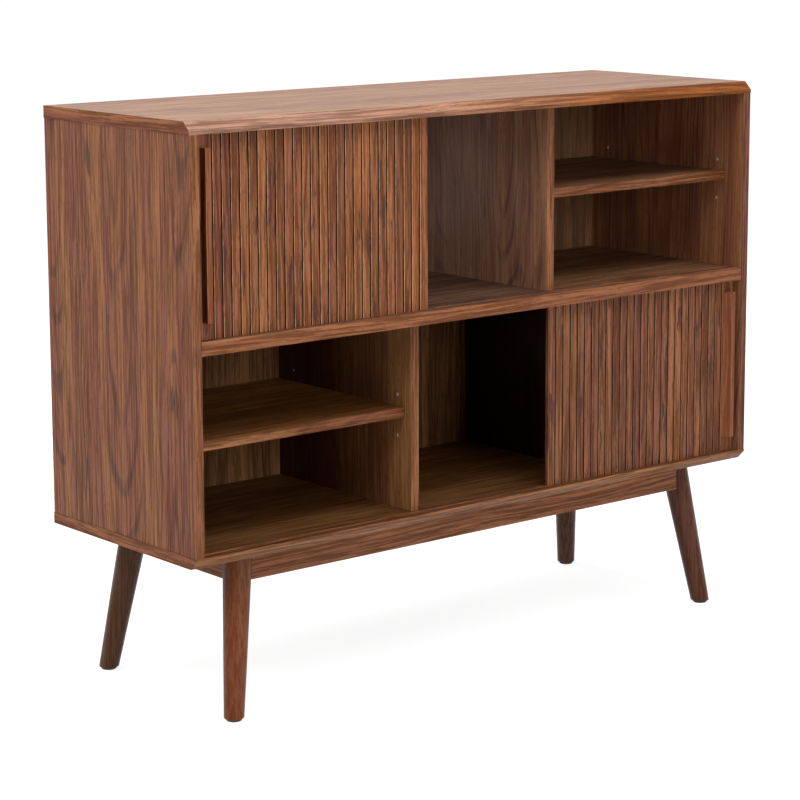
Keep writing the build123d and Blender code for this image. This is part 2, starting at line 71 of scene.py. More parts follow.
# Slat finish. Places across are in pitches from the nearest groove, depths in metres from the door's
# front. The first value of each pair is where a mask is 0, the second where it is 1.
# The next three pairs place the painted highlight beside each groove
PAINTED_HIGHLIGHT_STARTS = (0.058, 0.072)
PAINTED_HIGHLIGHT_ENDS = (0.14, 0.115)
PAINTED_HIGHLIGHT_DEPTHS = (0.0005, 0.0003)
# These two pairs place the painted shade in the grooves
GROOVE_SHADE_STARTS = (0.0002, 0.0004)
GROOVE_SHADE_ENDS = (0.0046, 0.0038)
# Colours of the painted highlight and of the painted shade in the grooves
PAINTED_HIGHLIGHT_COLOUR = (0.8, 0.42, 0.2, 1.0)
GROOVE_SHADE_COLOUR = (0.004, 0.0015, 0.001, 1.0)
HEART_COLOUR = (0.085, 0.03, 0.024, 1.0)
PURPLE_COLOUR = (0.13, 0.045, 0.03, 1.0)
DOOR_JUMP = 57.0  # slats between the numbers of one door and of the other
SLAT_JUMP_ALONG = 0.37  # metres from one slat's wood to the next, along the grain
SLAT_JUMP_ACROSS = 0.013

# Noises of the wood figure: cycles per metre across and along the grain, detail, roughness and shift
FIGURE_NOISES = {
    "shadow": (31.0, 1.2, 3.0, 0.6, 21.3),
    "ragged": (210.0, 15.0, 2.0, 0.6, 31.7),
    "tone": (19.0, 0.65, 3.0, 0.55, 0.0),
    "red": (24.0, 0.75, 3.0, 0.6, 3.7),
    "rings": (4.6, 0.5, 1.0, 0.4, 7.1),
    "fibre": (220.0, 6.5, 3.0, 0.7, 1.3),
    "pore": (330.0, 60.0, 1.0, 0.5, 5.9),
    "streak": (150.0, 1.5, 2.0, 0.6, 9.3),
    "blush_streak": (120.0, 1.3, 2.0, 0.6, 12.9),
}
GROWTH = 330.0  # radians of growth lines to a whole unit of their noise
KNOT_BULGE = 9.0  # radians that a knot pushes the growth lines aside
SWAY = (0.035, 0.035, 0.0)  # metres that the grain wanders for a whole unit of its noise


# ---------------------------------------------------------------- node helpers


def add_node(tree, kind, at, values=None, **settings):
    """Add a shader node, set its properties, and set the sockets named in values."""
    made = tree.nodes.new(kind)
    made.location = at
    for name, value in settings.items():
        setattr(made, name, value)
    for socket, value in (values or {}).items():
        made.inputs[socket].default_value = value
    return made


def join(tree, source, target):
    """Link an output socket to an input socket."""
    tree.links.new(source, target)


def maths(tree, at, operation, a, b=0.0, clamp=False):
    """Math node on two inputs, each a socket or a number. Returns its output."""
    made = add_node(tree, "ShaderNodeMath", at, operation=operation, use_clamp=clamp)
    for index, value in enumerate((a, b)):
        if isinstance(value, (int, float)):
            made.inputs[index].default_value = value
        else:
            join(tree, value, made.inputs[index])
    return made.outputs[0]


def blend(tree, at, factor, a, b, how="MIX"):
    """Mix two colours. Each input is a socket or a value. Returns the output."""
    made = add_node(tree, "ShaderNodeMix", at, data_type="RGBA", blend_type=how)
    for index, value in ((0, factor), (6, a), (7, b)):
        if hasattr(value, "links"):
            join(tree, value, made.inputs[index])
        else:
            made.inputs[index].default_value = value
    return made.outputs[2]


def ease(tree, at, value, low, high, to_low=0.0, to_high=1.0):
    """Smooth step of a value between two limits. Returns the output."""
    made = add_node(
        tree,
        "ShaderNodeMapRange",
        at,
        {"From Min": low, "From Max": high, "To Min": to_low, "To Max": to_high},
        interpolation_type="SMOOTHSTEP",
    )
    join(tree, value, made.inputs["Value"])
    return made.outputs["Result"]


def product(tree, at, *values):
    """Values multiplied one after the other. Returns the last output."""
    made = values[0]
    for step, value in enumerate(values[1:]):
        made = maths(tree, (at[0] + 40 * step, at[1] + 60 * step), "MULTIPLY", made, value)
    return made


def grey(tree, at, value):
    """Colour with one value in all three channels. Returns the output."""
    made = add_node(tree, "ShaderNodeCombineColor", at)
    for channel in made.inputs[:3]:
        join(tree, value, channel)
    return made.outputs[0]


def stretched_noise(tree, at, vector, across, along, detail, rough=0.5, shift=0.0):
    """Noise drawn out along local Z, across and along in cycles per metre. Returns its value."""
    place = add_node(
        tree,
        "ShaderNodeMapping",
        at,
        {"Scale": (across, across, along), "Location": (shift, shift * 1.7, shift * 0.6)},
    )
    join(tree, vector, place.inputs["Vector"])
    noise = add_node(
        tree,
        "ShaderNodeTexNoise",
        (at[0] + 180, at[1]),
        {"Scale": 1.0, "Detail": detail, "Roughness": rough},
    )
    join(tree, place.outputs[0], noise.inputs["Vector"])
    return noise.outputs[0]


# ---------------------------------------------------------------- shared effects


def build_wood_figure():
    """Sawn wood figure: tone bands, red heart streaks, growth lines, knots and pores along local Z."""
    tree = bpy.data.node_groups.new("wood_figure", "ShaderNodeTree")
    face = tree.interface
    face.new_socket("Vector", in_out="INPUT", socket_type="NodeSocketVector")
    for name in ("Pale", "Middle", "Red", "Dark"):
        face.new_socket(name, in_out="INPUT", socket_type="NodeSocketColor")
    for name in ("Bands", "Lines", "Knots", "Pores", "Threads"):
        face.new_socket(name, in_out="INPUT", socket_type="NodeSocketFloat")
    face.new_socket("Color", in_out="OUTPUT", socket_type="NodeSocketColor")
    face.new_socket("Grain", in_out="OUTPUT", socket_type="NodeSocketFloat")
    start = add_node(tree, "NodeGroupInput", (-1800, 0))
    end = add_node(tree, "NodeGroupOutput", (1500, 0))

    wander = add_node(tree, "ShaderNodeMapping", (-1600, -300), {"Scale": (4.0, 4.0, 1.6)})
    join(tree, start.outputs["Vector"], wander.inputs["Vector"])
    sway = add_node(
        tree, "ShaderNodeTexNoise", (-1420, -300), {"Scale": 1.0, "Detail": 2.0, "Roughness": 0.45}
    )
    join(tree, wander.outputs[0], sway.inputs["Vector"])
    centred = add_node(
        tree, "ShaderNodeVectorMath", (-1240, -300), {1: (0.5, 0.5, 0.5)}, operation="SUBTRACT"
    )
    join(tree, sway.outputs[1], centred.inputs[0])
    small = add_node(
        tree, "ShaderNodeVectorMath", (-1060, -300), {1: SWAY}, operation="MULTIPLY"
    )
    join(tree, centred.outputs[0], small.inputs[0])
    swayed = add_node(tree, "ShaderNodeVectorMath", (-880, -100), operation="ADD")
    join(tree, start.outputs["Vector"], swayed.inputs[0])
    join(tree, small.outputs[0], swayed.inputs[1])
    grain = swayed.outputs[0]
    noise = {
        name: stretched_noise(tree, (-700, 1300 - 200 * row), grain, *values)
        for row, (name, values) in enumerate(FIGURE_NOISES.items())
    }

    spread = add_node(tree, "ShaderNodeMapping", (-700, 500), {"Scale": (14.0, 14.0, 4.5)})
    join(tree, grain, spread.inputs["Vector"])
    eyes = add_node(
        tree, "ShaderNodeTexVoronoi", (-520, 500), {"Scale": 1.0, "Randomness": 1.0}, feature="F1"
    )
    join(tree, spread.outputs[0], eyes.inputs["Vector"])
    near_eye = ease(tree, (-340, 500), eyes.outputs["Distance"], 0.5, 0.0)
    knotty = maths(tree, (-160, 500), "MULTIPLY", near_eye, start.outputs["Knots"])
    ragged = maths(tree, (-340, 1100), "MULTIPLY", noise["ragged"], 0.6)
    ragged = maths(tree, (-160, 1100), "ADD", eyes.outputs["Distance"], ragged)
    pupil = ease(tree, (-340, 700), ragged, 0.42, 0.36)
    pupil = maths(tree, (-160, 700), "MULTIPLY", pupil, start.outputs["Knots"], clamp=True)

    growth = maths(tree, (-160, -100), "MULTIPLY", noise["rings"], GROWTH)
    bulge = maths(tree, (-160, 200), "MULTIPLY", knotty, KNOT_BULGE)
    phase = maths(tree, (20, -60), "ADD", growth, bulge)
    wave = maths(tree, (200, -60), "SINE", phase)
    line = ease(tree, (380, -60), wave, 0.4, 1.0)
    patchy = ease(tree, (-160, -300), noise["tone"], 0.44, 0.58, 1.0, 0.25)
    line = product(tree, (560, -60), line, patchy, start.outputs["Lines"])

    band = ease(tree, (-340, 200), noise["tone"], 0.44, 0.56, 0.0, 0.8)
    thin_band = ease(tree, (-340, -800), noise["streak"], 0.46, 0.62, 0.0, 0.5)
    band = maths(tree, (-160, -800), "ADD", band, thin_band, clamp=True)
    warm = blend(tree, (560, 400), band, start.outputs["Middle"], start.outputs["Pale"])
    blush = ease(tree, (-340, 20), noise["red"], 0.47, 0.6, 0.0, 0.85)
    thin_blush = ease(tree, (-340, -1000), noise["blush_streak"], 0.5, 0.64, 0.0, 0.35)
    blush = maths(tree, (-160, -1000), "ADD", blush, thin_blush, clamp=True)
    blush = maths(tree, (380, 200), "MULTIPLY", blush, start.outputs["Bands"], clamp=True)
    warm = blend(tree, (740, 400), blush, warm, start.outputs["Red"])
    dusk = ease(tree, (-340, 900), noise["shadow"], 0.52, 0.7, 0.0, 0.2)
    warm = blend(tree, (830, 400), dusk, warm, start.outputs["Dark"])
    stain = maths(tree, (560, 120), "MULTIPLY", pupil, 1.6, clamp=True)
    warm = blend(tree, (920, 400), stain, warm, start.outputs["Dark"])
    warm = blend(tree, (1080, 400), line, warm, start.outputs["Dark"])

    thread = ease(tree, (380, -400), noise["fibre"], 0.42, 0.59, 0.67, 1.3)
    threads = grey(tree, (560, -400), thread)
    warm = blend(tree, (1240, 400), start.outputs["Threads"], warm, threads, "MULTIPLY")
    warm = blend(tree, (1310, 400), 0.03, warm, threads, "ADD")
    warm = blend(tree, (1345, 400), 0.03, warm, (1.0, 1.0, 1.0, 1.0), "SUBTRACT")
    pit = ease(tree, (380, -600), noise["pore"], 0.58, 0.68)
    pit = maths(tree, (740, -600), "MULTIPLY", pit, start.outputs["Pores"], clamp=True)
    warm = blend(tree, (1380, 400), pit, warm, start.outputs["Dark"])
    join(tree, warm, end.inputs["Color"])

    level = maths(tree, (1000, -300), "SUBTRACT", thread, pit)
    join(tree, level, end.inputs["Grain"])
    return tree


wood_figure = build_wood_figure()


def new_material(name):
    """Empty node material with its Principled shader. Returns the material, its tree and the shader."""
    material = bpy.data.materials.new(name)
    material.use_nodes = True
    tree = material.node_tree
    shader = tree.nodes["Principled BSDF"]
    return material, tree, shader


GRAIN_TURN = {
    "x": (0.0, math.radians(90), 0.0),
    "y": (math.radians(90), 0.0, 0.0),
    "z": (0.0, 0.0, 0.0),
}


def paint_slats(tree, place, wood_place, colour, lit):
    """Give each slat its own stretch of wood and its own tone, with painted shade in the grooves.

    place is the place on the doors and wood_place the socket for the place in the wood. lit is the
    share of the painted highlight on the right of each groove. Returns the colour and the mask of the
    painted shade in the grooves.
    """
    axes = add_node(tree, "ShaderNodeSeparateXYZ", (-1320, 200))
    join(tree, place, axes.inputs[0])
    across, depth = axes.outputs["X"], axes.outputs["Y"]
    reach = maths(tree, (-1320, 400), "ABSOLUTE", across)
    reach = maths(tree, (-1160, 400), "SUBTRACT", reach, DOOR_FREE_EDGE)
    pitches = maths(tree, (-1000, 400), "DIVIDE", reach, SLAT_PITCH)
    slat = maths(tree, (-840, 400), "FLOOR", pitches)
    hand = maths(tree, (-1160, 560), "SIGN", across)
    door = maths(tree, (-1000, 560), "MULTIPLY", hand, DOOR_JUMP)
    slat = maths(tree, (-680, 460), "ADD", slat, door)
    chance = add_node(tree, "ShaderNodeTexWhiteNoise", (-520, 460), noise_dimensions="1D")
    join(tree, slat, chance.inputs["W"])

    moved = add_node(tree, "ShaderNodeCombineXYZ", (-840, -200))
    join(tree, maths(tree, (-1000, -200), "MULTIPLY", slat, SLAT_JUMP_ALONG), moved.inputs["Z"])
    join(tree, maths(tree, (-1000, -340), "MULTIPLY", slat, SLAT_JUMP_ACROSS), moved.inputs["X"])
    whole = add_node(tree, "ShaderNodeVectorMath", (-1000, 0), operation="ADD")
    join(tree, place, whole.inputs[0])
    join(tree, moved.outputs[0], whole.inputs[1])
    join(tree, whole.outputs[0], wood_place)

    shade = ease(tree, (-340, 460), chance.outputs["Value"], 0.0, 1.0, 0.87, 1.13)
    colour = blend(tree, (-20, 300), 1.0, colour, grey(tree, (-180, 460), shade), "MULTIPLY")
    heart = stretched_noise(tree, (-900, 1700), whole.outputs[0], 48.0, 8.0, 3.0, 0.6, 4.9)
    heart = ease(tree, (-340, 1700), heart, 0.58, 0.63, 0.0, 0.95)
    stroke = stretched_noise(tree, (-900, 1900), whole.outputs[0], 260.0, 24.0, 2.0, 0.6, 8.3)
    stroke = ease(tree, (-340, 1900), stroke, 0.45, 0.5, 0.15, 1.0)
    heart = maths(tree, (-180, 1700), "MULTIPLY", heart, stroke)
    colour = blend(tree, (20, 380), heart, colour, HEART_COLOUR)
    purple = ease(tree, (-340, 600), chance.outputs["Color"], 0.6, 1.0, 0.0, 0.5)
    colour = blend(tree, (60, 460), purple, colour, PURPLE_COLOUR)

    groove = maths(tree, (-1000, 1240), "ROUND", pitches)
    beside = maths(tree, (-840, 1240), "SUBTRACT", pitches, groove)
    beside = maths(tree, (-680, 1240), "MULTIPLY", beside, hand)
    # Painted highlight on the slat edge beside each groove, broken up along its length
    line = product(
        tree,
        (-180, 1240),
        ease(tree, (-340, 1240), beside, *PAINTED_HIGHLIGHT_STARTS),
        ease(tree, (-340, 1400), beside, *PAINTED_HIGHLIGHT_ENDS),
        ease(tree, (-340, 1560), reach, 0.004, 0.006),
        ease(tree, (-520, 1240), depth, *(DOOR_FRONT + limit for limit in PAINTED_HIGHLIGHT_DEPTHS)),
        ease(tree, (-520, 1400), pitches, GROOVES + 0.3, GROOVES + 0.2),
        lit,
        highlight_breaks(tree, place),
    )
    colour = blend(tree, (100, 300), line, colour, PAINTED_HIGHLIGHT_COLOUR)

    # Painted shade: below the front face the grooves are painted near black
    inboard = ease(tree, (-340, 1080), reach, 0.0008, 0.0014)
    below = ease(tree, (-340, 760), depth, *(DOOR_FRONT + limit for limit in GROOVE_SHADE_STARTS))
    above = ease(tree, (-340, 920), depth, *(DOOR_FRONT + limit for limit in GROOVE_SHADE_ENDS))
    groove_shade = product(tree, (-180, 760), below, above, inboard)
    return blend(tree, (140, 300), groove_shade, colour, GROOVE_SHADE_COLOUR), groove_shade


def highlight_breaks(tree, place):
    """Share of the painted highlight beside each groove that is left, which varies along the grooves."""
    break_noise = stretched_noise(tree, (-900, 1400), place, 9.0, 38.0, 2.0, 0.6)
    return ease(tree, (-340, 1720), break_noise, 0.4, 0.58, 0.5, 1.0)


def wood(
    name, colours, grain, shift, bands=0.8, lines=0.6, knots=0.15, pores=0.35,
    threads=1.0, gloss=(0.48, 0.6), shine=0.2, relief=0.25, slats=0.0, drift=None,
):
    """Walnut finish. colours are pale, middle, red and dark; grain is the axis that it runs along.

    slats is the share of the painted highlight beside a door's grooves, which also get painted shade,
    and
    0 for any other piece. drift paints light and shade along an axis: it is the axis, where on it a
    change begins and ends, a colour, its share at the end, and how it is mixed in.
    """
    material, tree, shader = new_material(name)
    place = add_node(tree, "ShaderNodeTexCoord", (-1500, 0))
    turn = add_node(
        tree, "ShaderNodeMapping", (-700, 0), {"Location": shift, "Rotation": GRAIN_TURN[grain]}
    )
    figure = add_node(tree, "ShaderNodeGroup", (-500, 0), node_tree=wood_figure)
    for socket, colour in zip(("Pale", "Middle", "Red", "Dark"), colours):
        figure.inputs[socket].default_value = (*colour, 1.0)
    amounts = {"Bands": bands, "Lines": lines, "Knots": knots, "Pores": pores, "Threads": threads}
    for socket, value in amounts.items():
        figure.inputs[socket].default_value = value
    join(tree, turn.outputs[0], figure.inputs["Vector"])
    colour = figure.outputs["Color"]
    if slats:
        colour, groove_shade = paint_slats(tree, place.outputs["Object"], turn.inputs["Vector"], colour, slats)
    else:
        join(tree, place.outputs["Object"], turn.inputs["Vector"])
    if drift:
        axis, begin, stop, other, share, how = drift
        along = add_node(tree, "ShaderNodeSeparateXYZ", (-1320, 200))
        join(tree, place.outputs["Object"], along.inputs[0])
        changed = ease(tree, (-340, 460), along.outputs[axis], begin, stop, 0.0, share)
        colour = blend(tree, (140, 300), changed, colour, (*other, 1.0), how)
    join(tree, colour, shader.inputs["Base Color"])
    dull = ease(tree, (-200, -200), figure.outputs["Grain"], 0.5, 1.1, gloss[1], gloss[0])
    if slats:
        dull = maths(tree, (-20, -200), "MAXIMUM", dull, groove_shade)
    join(tree, dull, shader.inputs["Roughness"])
    shader.inputs["Specular IOR Level"].default_value = shine
    bump = add_node(tree, "ShaderNodeBump", (-200, -400), {"Strength": relief, "Distance": 0.0004})
    join(tree, figure.outputs["Grain"], bump.inputs["Height"])
    join(tree, bump.outputs[0], shader.inputs["Normal"])
    return material


def speckled(name, colour, other, scale, roughness, metallic=0.0):
    """Plain finish with a fine mottle between two colours."""
    material, tree, shader = new_material(name)
    place = add_node(tree, "ShaderNodeTexCoord", (-900, 0))
    noise = add_node(tree, "ShaderNodeTexNoise", (-700, 0), {"Scale": scale, "Detail": 3.0})
    join(tree, place.outputs["Object"], noise.inputs["Vector"])
    spots = ease(tree, (-500, 0), noise.outputs[0], 0.35, 0.65)
    join(tree, blend(tree, (-300, 0), spots, (*colour, 1.0), (*other, 1.0)), shader.inputs["Base Color"])
    dull = ease(tree, (-300, -240), noise.outputs[0], 0.3, 0.7, roughness - 0.06, roughness + 0.06)
    join(tree, dull, shader.inputs["Roughness"])
    shader.inputs["Metallic"].default_value = metallic
    return material


# Walnut tones: pale, middle, red and dark
VENEER = ((0.338, 0.127, 0.039), (0.232, 0.075, 0.026), (0.217, 0.056, 0.03), (0.067, 0.019, 0.01))
# Lighter, less saturated veneer colours for faces inside the bays: painted light
LIT_INNER = ((0.406, 0.191, 0.091), (0.307, 0.134, 0.07), (0.28, 0.108, 0.065), (0.142, 0.058, 0.035))
# Lighter veneer colours for the lower left bay: painted light
LIT_LEFT_INNER = ((0.468, 0.22, 0.08), (0.354, 0.154, 0.061), (0.323, 0.124, 0.057), (0.164, 0.067, 0.03))
# Lighter veneer colours for the side panels' inner faces: painted light
LIT_SIDE_INNER = ((0.395, 0.168, 0.074), (0.298, 0.118, 0.056), (0.273, 0.095, 0.052), (0.139, 0.052, 0.029))
EDGE = ((0.313, 0.122, 0.046), (0.215, 0.077, 0.033), (0.179, 0.054, 0.027), (0.053, 0.018, 0.01))
# Darker copy of the edge colours for the right side panel's front edge: painted shade
SHADED_RIGHT_EDGE = ((0.25, 0.095, 0.046), (0.172, 0.06, 0.033), (0.143, 0.042, 0.027), (0.043, 0.014, 0.011))
BOARD = ((0.232, 0.113, 0.047), (0.155, 0.069, 0.031), (0.133, 0.047, 0.028), (0.055, 0.021, 0.012))
# Darker walnut colours for the bottom board: painted shade in the lower bays
SHADED_BOTTOM_BOARD = ((0.133, 0.057, 0.019), (0.099, 0.04, 0.014), (0.09, 0.031, 0.013), (0.052, 0.02, 0.008))
# Less blue copy of the board colours for the lower shelf: painted light and shade of the lower left bay
LOW_SHELF_PAINTED_LIGHT = ((0.236, 0.103, 0.023), (0.17, 0.068, 0.016), (0.152, 0.052, 0.015), (0.079, 0.028, 0.008))
# Paler, greyer walnut colours for the top board: painted sheen and painted light from above
TOP_PAINTED_SHEEN = ((0.352, 0.198, 0.119), (0.273, 0.144, 0.094), (0.251, 0.12, 0.089), (0.152, 0.076, 0.056))
BAND = ((0.389, 0.162, 0.059), (0.293, 0.109, 0.044), (0.252, 0.081, 0.035), (0.11, 0.04, 0.018))
# Darker copy of the band colours for the shelves' front edges: painted shade inside the bays
SHADED_SHELF_BAND = ((0.314, 0.125, 0.043), (0.218, 0.076, 0.03), (0.176, 0.049, 0.021), (0.046, 0.014, 0.008))
# Paler walnut colours for the top's bevel: painted light from above and painted sheen
BEVEL = ((0.495, 0.294, 0.17), (0.393, 0.215, 0.132), (0.349, 0.17, 0.112), (0.181, 0.096, 0.065))
DOOR = ((0.313, 0.114, 0.041), (0.255, 0.088, 0.035), (0.225, 0.069, 0.036), (0.054, 0.016, 0.015))
# Darker copy of the door colours for the lower door: painted shade
SHADED_LOW_DOOR = ((0.286, 0.112, 0.042), (0.234, 0.086, 0.036), (0.206, 0.067, 0.037), (0.048, 0.016, 0.016))
BACK = ((0.266, 0.122, 0.041), (0.177, 0.077, 0.026), (0.138, 0.05, 0.02), (0.056, 0.022, 0.009))
SOLID = ((0.173, 0.055, 0.019), (0.149, 0.046, 0.016), (0.141, 0.041, 0.014), (0.112, 0.034, 0.012))
HANDLE = ((0.294, 0.098, 0.038), (0.231, 0.074, 0.03), (0.207, 0.062, 0.026), (0.131, 0.041, 0.019))
# Paler copy of the handle colours for the handles' arrises: painted highlight
ARRIS_HIGHLIGHT = ((0.547, 0.196, 0.075), (0.391, 0.133, 0.055), (0.332, 0.101, 0.044), (0.144, 0.046, 0.023))
# Near-black copy of the handle colours for the finger faces: painted shade from the side panels
FINGER_SHADE = ((0.086, 0.024, 0.006), (0.062, 0.016, 0.005), (0.052, 0.012, 0.004), (0.023, 0.006, 0.002))
# Lighter walnut colours for the rails: painted light bounced up from the floor
LIT_RAIL = ((0.434, 0.173, 0.071), (0.309, 0.119, 0.05), (0.258, 0.088, 0.041), (0.125, 0.047, 0.022))

top_face_painted_sheen = wood(
    "walnut_top_face", TOP_PAINTED_SHEEN, "x", (0.0, 0.3, 0.0), lines=0.25, knots=0.05, pores=0.25,
    threads=0.7, gloss=(0.44, 0.5), shine=0.55, relief=0.06,
)
# Darker left of the upper right divider: painted shade in the upper left and middle bays
board_face_painted_shade = wood(
    "walnut_board_face", BOARD, "x", (0.3, 0.7, 0.4), lines=0.4, pores=0.25,
    drift=("X", 0.156, 0.14, (0.58, 0.59, 0.8), 1.0, "MULTIPLY"),
)
# Bottom board: painted shade, made lighter and less blue toward the back
low_board_face = wood(
    "walnut_low_board_face", SHADED_BOTTOM_BOARD, "x", (0.3, 0.7, 0.4), lines=0.4, knots=0.05, pores=0.25,
    threads=0.7, drift=("Y", -0.18, 0.08, (1.35, 1.3, 0.8), 1.0, "MULTIPLY"),
)
upper_shelf_face = wood("walnut_upper_shelf_face", BOARD, "x", (0.3, 0.7, 0.4), lines=0.4, pores=0.25)
# Lower shelf: lighter toward the back, painted light
lower_shelf_face_painted_light = wood(
    "walnut_lower_shelf_face", LOW_SHELF_PAINTED_LIGHT, "x", (0.3, 0.7, 0.4), lines=0.4, pores=0.25, threads=0.7,
    drift=("Y", -0.15, 0.1, (1.5, 1.45, 1.3), 1.0, "MULTIPLY"),
)
upright_face = wood(
    "walnut_upright_face", VENEER, "z", (0.2, 0.1, 0.4), bands=0.85, lines=0.65, knots=0.5,
    threads=0.85, shine=0.28,
)
front_band = wood("walnut_front_band", BAND, "x", (0.1, 0.0, 0.2), lines=0.25, knots=0.1, pores=0.4)
shelf_band_painted_shade = wood("walnut_shelf_band", SHADED_SHELF_BAND, "x", (0.1, 0.0, 0.2), lines=0.3, knots=0.1, pores=0.3)
# Top bevel: darker and redder toward the right end, painted shade
bevel_band_painted_light = wood(
    "walnut_bevel_band", BEVEL, "x", (0.6, 0.2, 0.3), lines=0.25, knots=0.05, pores=0.4, shine=0.15,
    drift=("X", -0.4, 0.4, (0.52, 0.275, 0.052), 1.0, "MULTIPLY"),
)
# Upper bay faces: painted light, turning grey toward the back as a painted reflection
upper_bay_face_painted_light = wood(
    "walnut_upper_bay_face", LIT_INNER, "z", (0.2, 0.1, 0.4), bands=0.9, lines=0.9, knots=0.4, threads=0.4,
    drift=("Y", -0.14, 0.1, (0.17, 0.13, 0.11), 0.35, "MIX"),
)
side_bay_face_painted_light = wood(
    "walnut_side_bay_face", LIT_SIDE_INNER, "z", (0.2, 0.1, 0.4), bands=0.9, lines=0.9, knots=0.4,
    threads=0.4,
)
# Lower left bay faces: painted light at the front, painted shade near black toward the back
lower_left_bay_face_lit_and_shaded = wood(
    "walnut_lower_left_bay_face", LIT_LEFT_INNER, "z", (0.2, 0.1, 0.4), bands=0.9, threads=0.5,
    drift=("Y", -0.14, 0.1, (0.03, 0.002, 0.002), 0.85, "MIX"),
)
# Lower right bay faces: painted light at the front, painted shade near black toward the back
lower_right_bay_face_lit_and_shaded = wood(
    "walnut_lower_right_bay_face", LIT_INNER, "z", (0.2, 0.1, 0.4), bands=0.9, threads=0.5,
    drift=("Y", -0.14, 0.0, (0.004, 0.001, 0.001), 0.98, "MIX"),
)
upright_band = wood("walnut_upright_band", EDGE, "z", (0.5, 0.2, 0.1), lines=0.3, knots=0.05)
right_band = wood("walnut_right_band", SHADED_RIGHT_EDGE, "z", (0.5, 0.2, 0.1), lines=0.2, knots=0.0)
end_band = wood("walnut_end_band", VENEER, "y", (0.7, 0.1, 0.3), lines=0.3)
slat_face = wood(
    "walnut_slats", DOOR, "z", (0.9, 0.4, 0.2), bands=0.9, lines=0.2, knots=0.5, slats=0.9
)
low_slat_face_painted_shade = wood(
    "walnut_low_slats", SHADED_LOW_DOOR, "z", (0.9, 0.4, 0.2), bands=0.9, lines=0.2, knots=0.75, slats=0.3
)
# Back sheet: paler and greyer in its upper part, painted light in the upper bays
back_face_painted_light = wood(
    "walnut_back_sheet", BACK, "z", (0.3, 0.8, 0.6), lines=0.3, threads=0.8, gloss=(0.55, 0.65),
    drift=("Z", 0.5, 0.65, (0.28, 0.18, 0.11), 0.2, "MIX"),
)
# Each leg's colours are scaled: lighter on the front left leg, painted light; darker on the others,
# painted shade
leg_light_and_shade = {
    "front_left": (1.18, 1.09, 0.98),
    "front_right": (0.6, 0.57, 0.68),
    "rear_left": (0.71, 0.87, 0.95),
    "rear_right": (0.68, 0.9, 1.15),
}
leg_finishes = {
    corner: wood(
        "solid_walnut_%s_leg" % corner,
        tuple(tuple(c * t for c, t in zip(colour, tint)) for colour in SOLID),
        "z", (0.4, 0.6, 0.9), lines=0.12, knots=0.0, pores=0.2, threads=0.35,
        gloss=(0.34, 0.44), relief=0.1,
    )
    for corner, tint in leg_light_and_shade.items()
}
handle_wood = wood(
    "solid_walnut_handles", HANDLE, "z", (1.4, 0.3, 0.2), lines=0.1, knots=0.0, threads=0.5,
    gloss=(0.36, 0.46),
)
finger_shade_wood = wood("walnut_finger_faces", FINGER_SHADE, "z", (1.4, 0.3, 0.2), lines=0.25, gloss=(0.55, 0.65))
arris_highlight_wood = wood("walnut_handle_arris", ARRIS_HIGHLIGHT, "z", (1.4, 0.3, 0.2), lines=0.25, gloss=(0.36, 0.46))
long_rail_wood = wood("walnut_long_rails", LIT_RAIL, "x", (0.6, 0.9, 0.1), lines=0.25, knots=0.3)
end_rail_wood = wood("walnut_end_rails", LIT_RAIL, "y", (0.6, 0.3, 0.5), lines=0.5)
raw_board = speckled("raw_board_core", (0.95, 0.86, 0.66), (0.88, 0.76, 0.54), 900.0, 0.8)
beech = wood("beech_dowels", ((0.6, 0.42, 0.25),) * 3 + ((0.4, 0.26, 0.14),), "z", (0.0, 0.0, 0.0))
steel = speckled("zinc_plated_steel", (0.55, 0.55, 0.54), (0.42, 0.42, 0.42), 300.0, 0.34, 1.0)
bright_steel = speckled("nickel_plated_supports", (0.98, 0.93, 0.83), (0.9, 0.85, 0.75), 300.0, 0.3, 0.3)
brass = speckled("brass_inserts", (0.6, 0.44, 0.19), (0.5, 0.35, 0.14), 300.0, 0.36, 1.0)
black_plastic = speckled("black_foot_pads", (0.018, 0.018, 0.018), (0.03, 0.029, 0.028), 700.0, 0.5)
nylon = speckled("nylon_glides", (0.78, 0.77, 0.73), (0.7, 0.69, 0.65), 400.0, 0.4)


# ---------------------------------------------------------------- pieces


def activate(piece):
    """Leave only this object selected and active."""
    bpy.ops.object.select_all(action="DESELECT")
    piece.select_set(True)
    bpy.context.view_layer.objects.active = piece


def dressed_copy(name, finish, edge=0.0004, segments=2, angle=30.0):
    """Copy a CAD node, clean its mesh, round its edges a little and let it stand for the node."""
    source = nodes[name]
    piece = source.copy()
    piece.data = source.data.copy()
    piece.name = "fine_" + name
    piece.parent = None
    bpy.context.scene.collection.objects.link(piece)
    activate(piece)
    bpy.ops.object.mode_set(mode="EDIT")
    bpy.ops.mesh.select_all(action="SELECT")
    bpy.ops.mesh.remove_doubles(threshold=0.000002)
    bpy.ops.mesh.dissolve_limited(angle_limit=math.radians(0.2))
    bpy.ops.object.mode_set(mode="OBJECT")
    if edge:
        rounding = piece.modifiers.new("eased_edges", "BEVEL")
        rounding.width = edge
        rounding.segments = segments
        rounding.limit_method = "ANGLE"
        rounding.angle_limit = math.radians(angle)
        rounding.use_clamp_overlap = True
        bpy.ops.object.modifier_apply(modifier=rounding.name)
    bpy.ops.object.shade_smooth_by_angle(angle=math.radians(35))
    level = piece.modifiers.new("level_faces", "WEIGHTED_NORMAL")
    level.keep_sharp = True
    bpy.ops.object.modifier_apply(modifier=level.name)
    piece.data.materials.clear()
    piece.data.materials.append(finish)
    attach(piece, source["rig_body"])
    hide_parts(name)
    return piece


def finish_faces(piece, finish, wanted):
    """Give the faces for which wanted(centre, normal) is true another finish."""
    piece.data.materials.append(finish)
    slot = len(piece.data.materials) - 1
    for face in piece.data.polygons:
        if wanted(face.center, face.normal):
            face.material_index = slot


